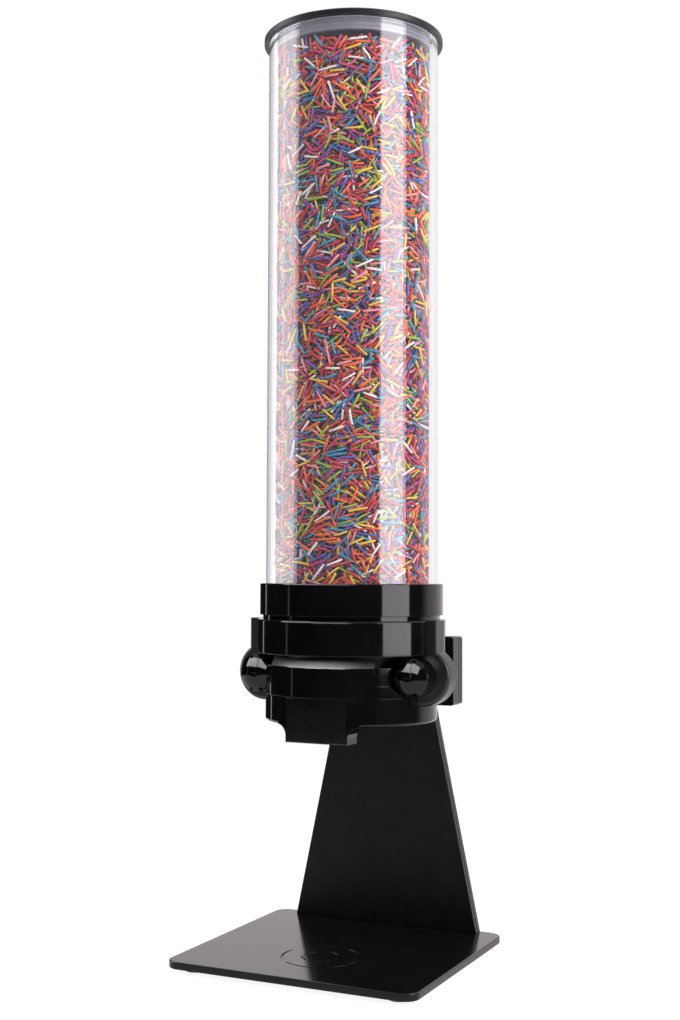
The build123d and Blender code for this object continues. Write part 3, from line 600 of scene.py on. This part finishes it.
def make_spring(node):
    """A round wire wound along Y between the barrel's cap and the socket's floor."""
    low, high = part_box(node)
    middle = (low + high) / 2
    coil_r = (high.x - low.x) / 2 - WIRE_R
    start, end = low.y + WIRE_R, high.y - WIRE_R
    steps = SPRING_TURNS * TURN_STEPS
    pitch = (end - start) / SPRING_TURNS
    points = []
    for step in range(steps + 1):
        angle = 2 * math.pi * SPRING_TURNS * step / steps
        out = Vector((math.cos(angle), 0, math.sin(angle)))
        centre = Vector((middle.x, start + (end - start) * step / steps, middle.z)) + out * coil_r
        forward = Vector((-math.sin(angle), pitch / (2 * math.pi * coil_r), math.cos(angle))).normalized()
        across = forward.cross(out)
        for side in range(WIRE_SIDES):
            turn = 2 * math.pi * side / WIRE_SIDES
            points.append(centre + (out * math.cos(turn) + across * math.sin(turn)) * WIRE_R)
    mesh = bpy.data.meshes.new("wound_" + node)
    mesh.from_pydata(points, [], skin_faces(steps + 1, WIRE_SIDES))
    mesh.shade_smooth()
    piece = add_object(mesh, FINISHES["spring_steel"])
    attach(piece, "head")
    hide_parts(node)
    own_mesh(piece)


make_spring("left_spring")
make_spring("right_spring")


# Studio: white behind the object, dark in front of it, tall soft boxes at its sides, and lamps that
# each light a few pieces. Angles run from straight in front of the tube towards the right, in degrees.
BEHIND_RIGHT = (122.0, 136.0)
BEHIND_LEFT = (-148.0, -142.0)
FRONT_LIGHT = 0.012


def make_world():
    world = bpy.data.worlds.new("studio")
    scene.world = world
    tree = Tree(world)
    way = tree.add("ShaderNodeTexCoord").outputs["Generated"]
    split = tree.add("ShaderNodeSeparateXYZ", {0: way})
    turned = tree.maths("ARCTAN2", split.outputs[0], tree.maths("MULTIPLY", split.outputs[1], -1.0))
    degrees = tree.maths("MULTIPLY", turned, 180 / math.pi)
    right_side = tree.spread(degrees, *BEHIND_RIGHT, 0.0, 1.0)
    left_side = tree.spread(degrees, *BEHIND_LEFT, 1.0, 0.0)
    behind = tree.maths("ADD", right_side, left_side)
    light = tree.spread(behind, 0.0, 1.0, FRONT_LIGHT, 1.0)
    path = tree.add("ShaderNodeLightPath")
    straight = tree.maths("LESS_THAN", path.outputs["Diffuse Depth"], 0.5)
    through = tree.maths("MULTIPLY", path.outputs["Is Transmission Ray"], straight)
    seen = tree.maths("MAXIMUM", path.outputs["Is Camera Ray"], through)
    strength = tree.maths("MAXIMUM", seen, light)
    tint = tree.mix(path.outputs["Is Camera Ray"], colour(1, 0.94, 0.968), colour(1, 1, 1))
    ground = tree.add("ShaderNodeBackground", {"Color": tint, "Strength": strength}).outputs[0]
    tree.finish(ground, "ShaderNodeOutputWorld")


def soft_box(name, place, target, size, brightness, tint=(1, 1, 1), glossy=True, only=None, through=False,
             diffuse=True):
    """A rectangular area light of a given brightness, turned to a target.

    only is the group of pieces it lights. glossy, through and diffuse say whether it shows in
    reflections, shows through the clear tube and lights matt surfaces.
    """
    data = bpy.data.lights.new(name, "AREA")
    data.shape = "RECTANGLE"
    data.size, data.size_y = size
    data.energy = brightness * math.pi * size[0] * size[1]
    data.color = tint
    light = bpy.data.objects.new(name, data)
    light.location = place
    light.rotation_euler = (Vector(target) - Vector(place)).to_track_quat("-Z", "Y").to_euler()
    light.visible_glossy = glossy
    light.visible_camera = False
    light.visible_transmission = through
    light.visible_diffuse = diffuse
    scene.collection.objects.link(light)
    if only is not None:
        light.light_linking.receiver_collection = only


def around(degrees, distance, height):
    """A place at an angle about the tube, from straight in front towards the right."""
    angle = math.radians(degrees)
    return (distance * math.sin(angle), AXIS_Y - distance * math.cos(angle), height)


def group(name, members):
    found = bpy.data.collections.new(name)
    for member in members:
        found.objects.link(member)
    return found


FLOOR_R = 1.1
FLOOR_RINGS = 24
FLOOR_SIDES = 96


def make_floor():
    """A round white floor, with rings that lie closer towards its middle."""
    points = []
    faces = []
    for ring in range(FLOOR_RINGS + 1):
        for side in range(FLOOR_SIDES):
            angle = 2 * math.pi * side / FLOOR_SIDES
            out = FLOOR_R * (ring / FLOOR_RINGS) ** 1.5 + 0.001
            points.append((out * math.cos(angle), out * math.sin(angle), 0.0))
    for ring in range(FLOOR_RINGS):
        for side in range(FLOOR_SIDES):
            after = (side + 1) % FLOOR_SIDES
            a, b = ring * FLOOR_SIDES, (ring + 1) * FLOOR_SIDES
            faces.append((a + side, b + side, b + after, a + after))
    faces.append(tuple(range(FLOOR_SIDES)))
    mesh = bpy.data.meshes.new("floor")
    mesh.from_pydata(points, [], faces)
    material = bpy.data.materials.new("floor")
    tree = Tree(material)
    put = {
        "Base Color": colour(0.2, 0.2, 0.2),
        "Roughness": 0.9,
        "Specular IOR Level": 0.1,
        "Emission Color": colour(1, 0.98, 0.99),
        "Emission Strength": 0.92,
    }
    tree.principled(put)
    floor = add_object(mesh, material)


make_floor()
make_world()

# Groups of pieces that single lamps light. Rings are the polished black pieces.
RING_SLOTS = ("gloss_black", "cover_black")
shown = [o for o in scene.objects if o.type == "MESH"]
rings = [o for o in shown if SLOT_OF.get(o.name) in RING_SLOTS]
all_but_rings = group("all_but_rings", [o for o in shown if o not in rings])
only_rings = group("only_rings", rings)
band_only = group("band_only", [NODES["push_band"]])
candy_only = group("candy_only", [o for o in shown if o.name.startswith("sprinkles_")])
plug_only = group("plug_only", [NODES["lid_plug"], NODES["lid_seal"]])

PALE = (1.0, 0.96, 0.985)
PLUG_TINT = (0.94, 0.95, 1.0)
FOOT = (0, AXIS_Y, 0.2)
MIDDLE = (0, AXIS_Y, 0.45)
HIGH = (0, AXIS_Y, 0.66)
LID = (0, AXIS_Y, 0.63)

# The tall box at the right, whose reflection is the bright stripe on the tube and the rings
RIGHT_PLACE = around(80.5, 1.2, 0.70)
RIGHT_TARGET = (0, AXIS_Y, 0.70)
RIGHT_SIZE = (0.80, 1.14)
soft_box("right_box", RIGHT_PLACE, RIGHT_TARGET, RIGHT_SIZE, 6.5, PALE, only=only_rings)
soft_box("right_box_wide", RIGHT_PLACE, RIGHT_TARGET, RIGHT_SIZE, 6.2, PALE, only=all_but_rings, through=True)

# The tall boxes at the left: name, angle, width, brightness
LEFT_HEIGHT = 1.30
LEFT_BOXES = (
    ("left_near", -64, 0.34, 3.8),
    ("left_middle", -81, 0.38, 2.8),
    ("left_far", -101, 0.46, 0.8),
)
for name, angle, width, brightness in LEFT_BOXES:
    size = (width, LEFT_HEIGHT)
    soft_box(name, around(angle, 1.2, 0.66), HIGH, size, brightness, PALE, only=all_but_rings, through=True)

# Thin lines of light at the rings' left side
soft_box("left_edge", around(-57.5, 1.2, 0.66), HIGH, (0.03, LEFT_HEIGHT), 1.6, only=only_rings)
soft_box("left_far_edge", around(-107, 1.2, 0.66), HIGH, (0.04, LEFT_HEIGHT), 2.4, only=only_rings)

# From the front: the band's shoulder, the rings' top edges, the lid's plug and the sprinkles
soft_box("band_glow", around(-12, 1.2, 0.76), FOOT, (1.3, 0.3), 34.0, PALE, only=band_only, diffuse=False)
soft_box("top_front", around(-24, 1.1, 1.0), FOOT, (2.6, 1.0), 11.0, PALE, only=only_rings, diffuse=False)
soft_box("plug_glow", around(10, 1.2, 0.50), LID, (1.6, 0.6), 4.0, PLUG_TINT, glossy=False, only=plug_only)
soft_box("candy_key", around(5, 1.3, 1.35), MIDDLE, (0.5, 0.5), 20.0, only=candy_only)

# Soft light over everything
soft_box("ceiling", (-0.1, AXIS_Y - 0.35, 1.6), (-0.1, AXIS_Y - 0.35, 0.3), (3.0, 3.0), 1.0, PALE)
soft_box("front_fill", around(12, 2.4, 1.1), (0, AXIS_Y, 0.42), (1.8, 1.8), 0.3, glossy=False)
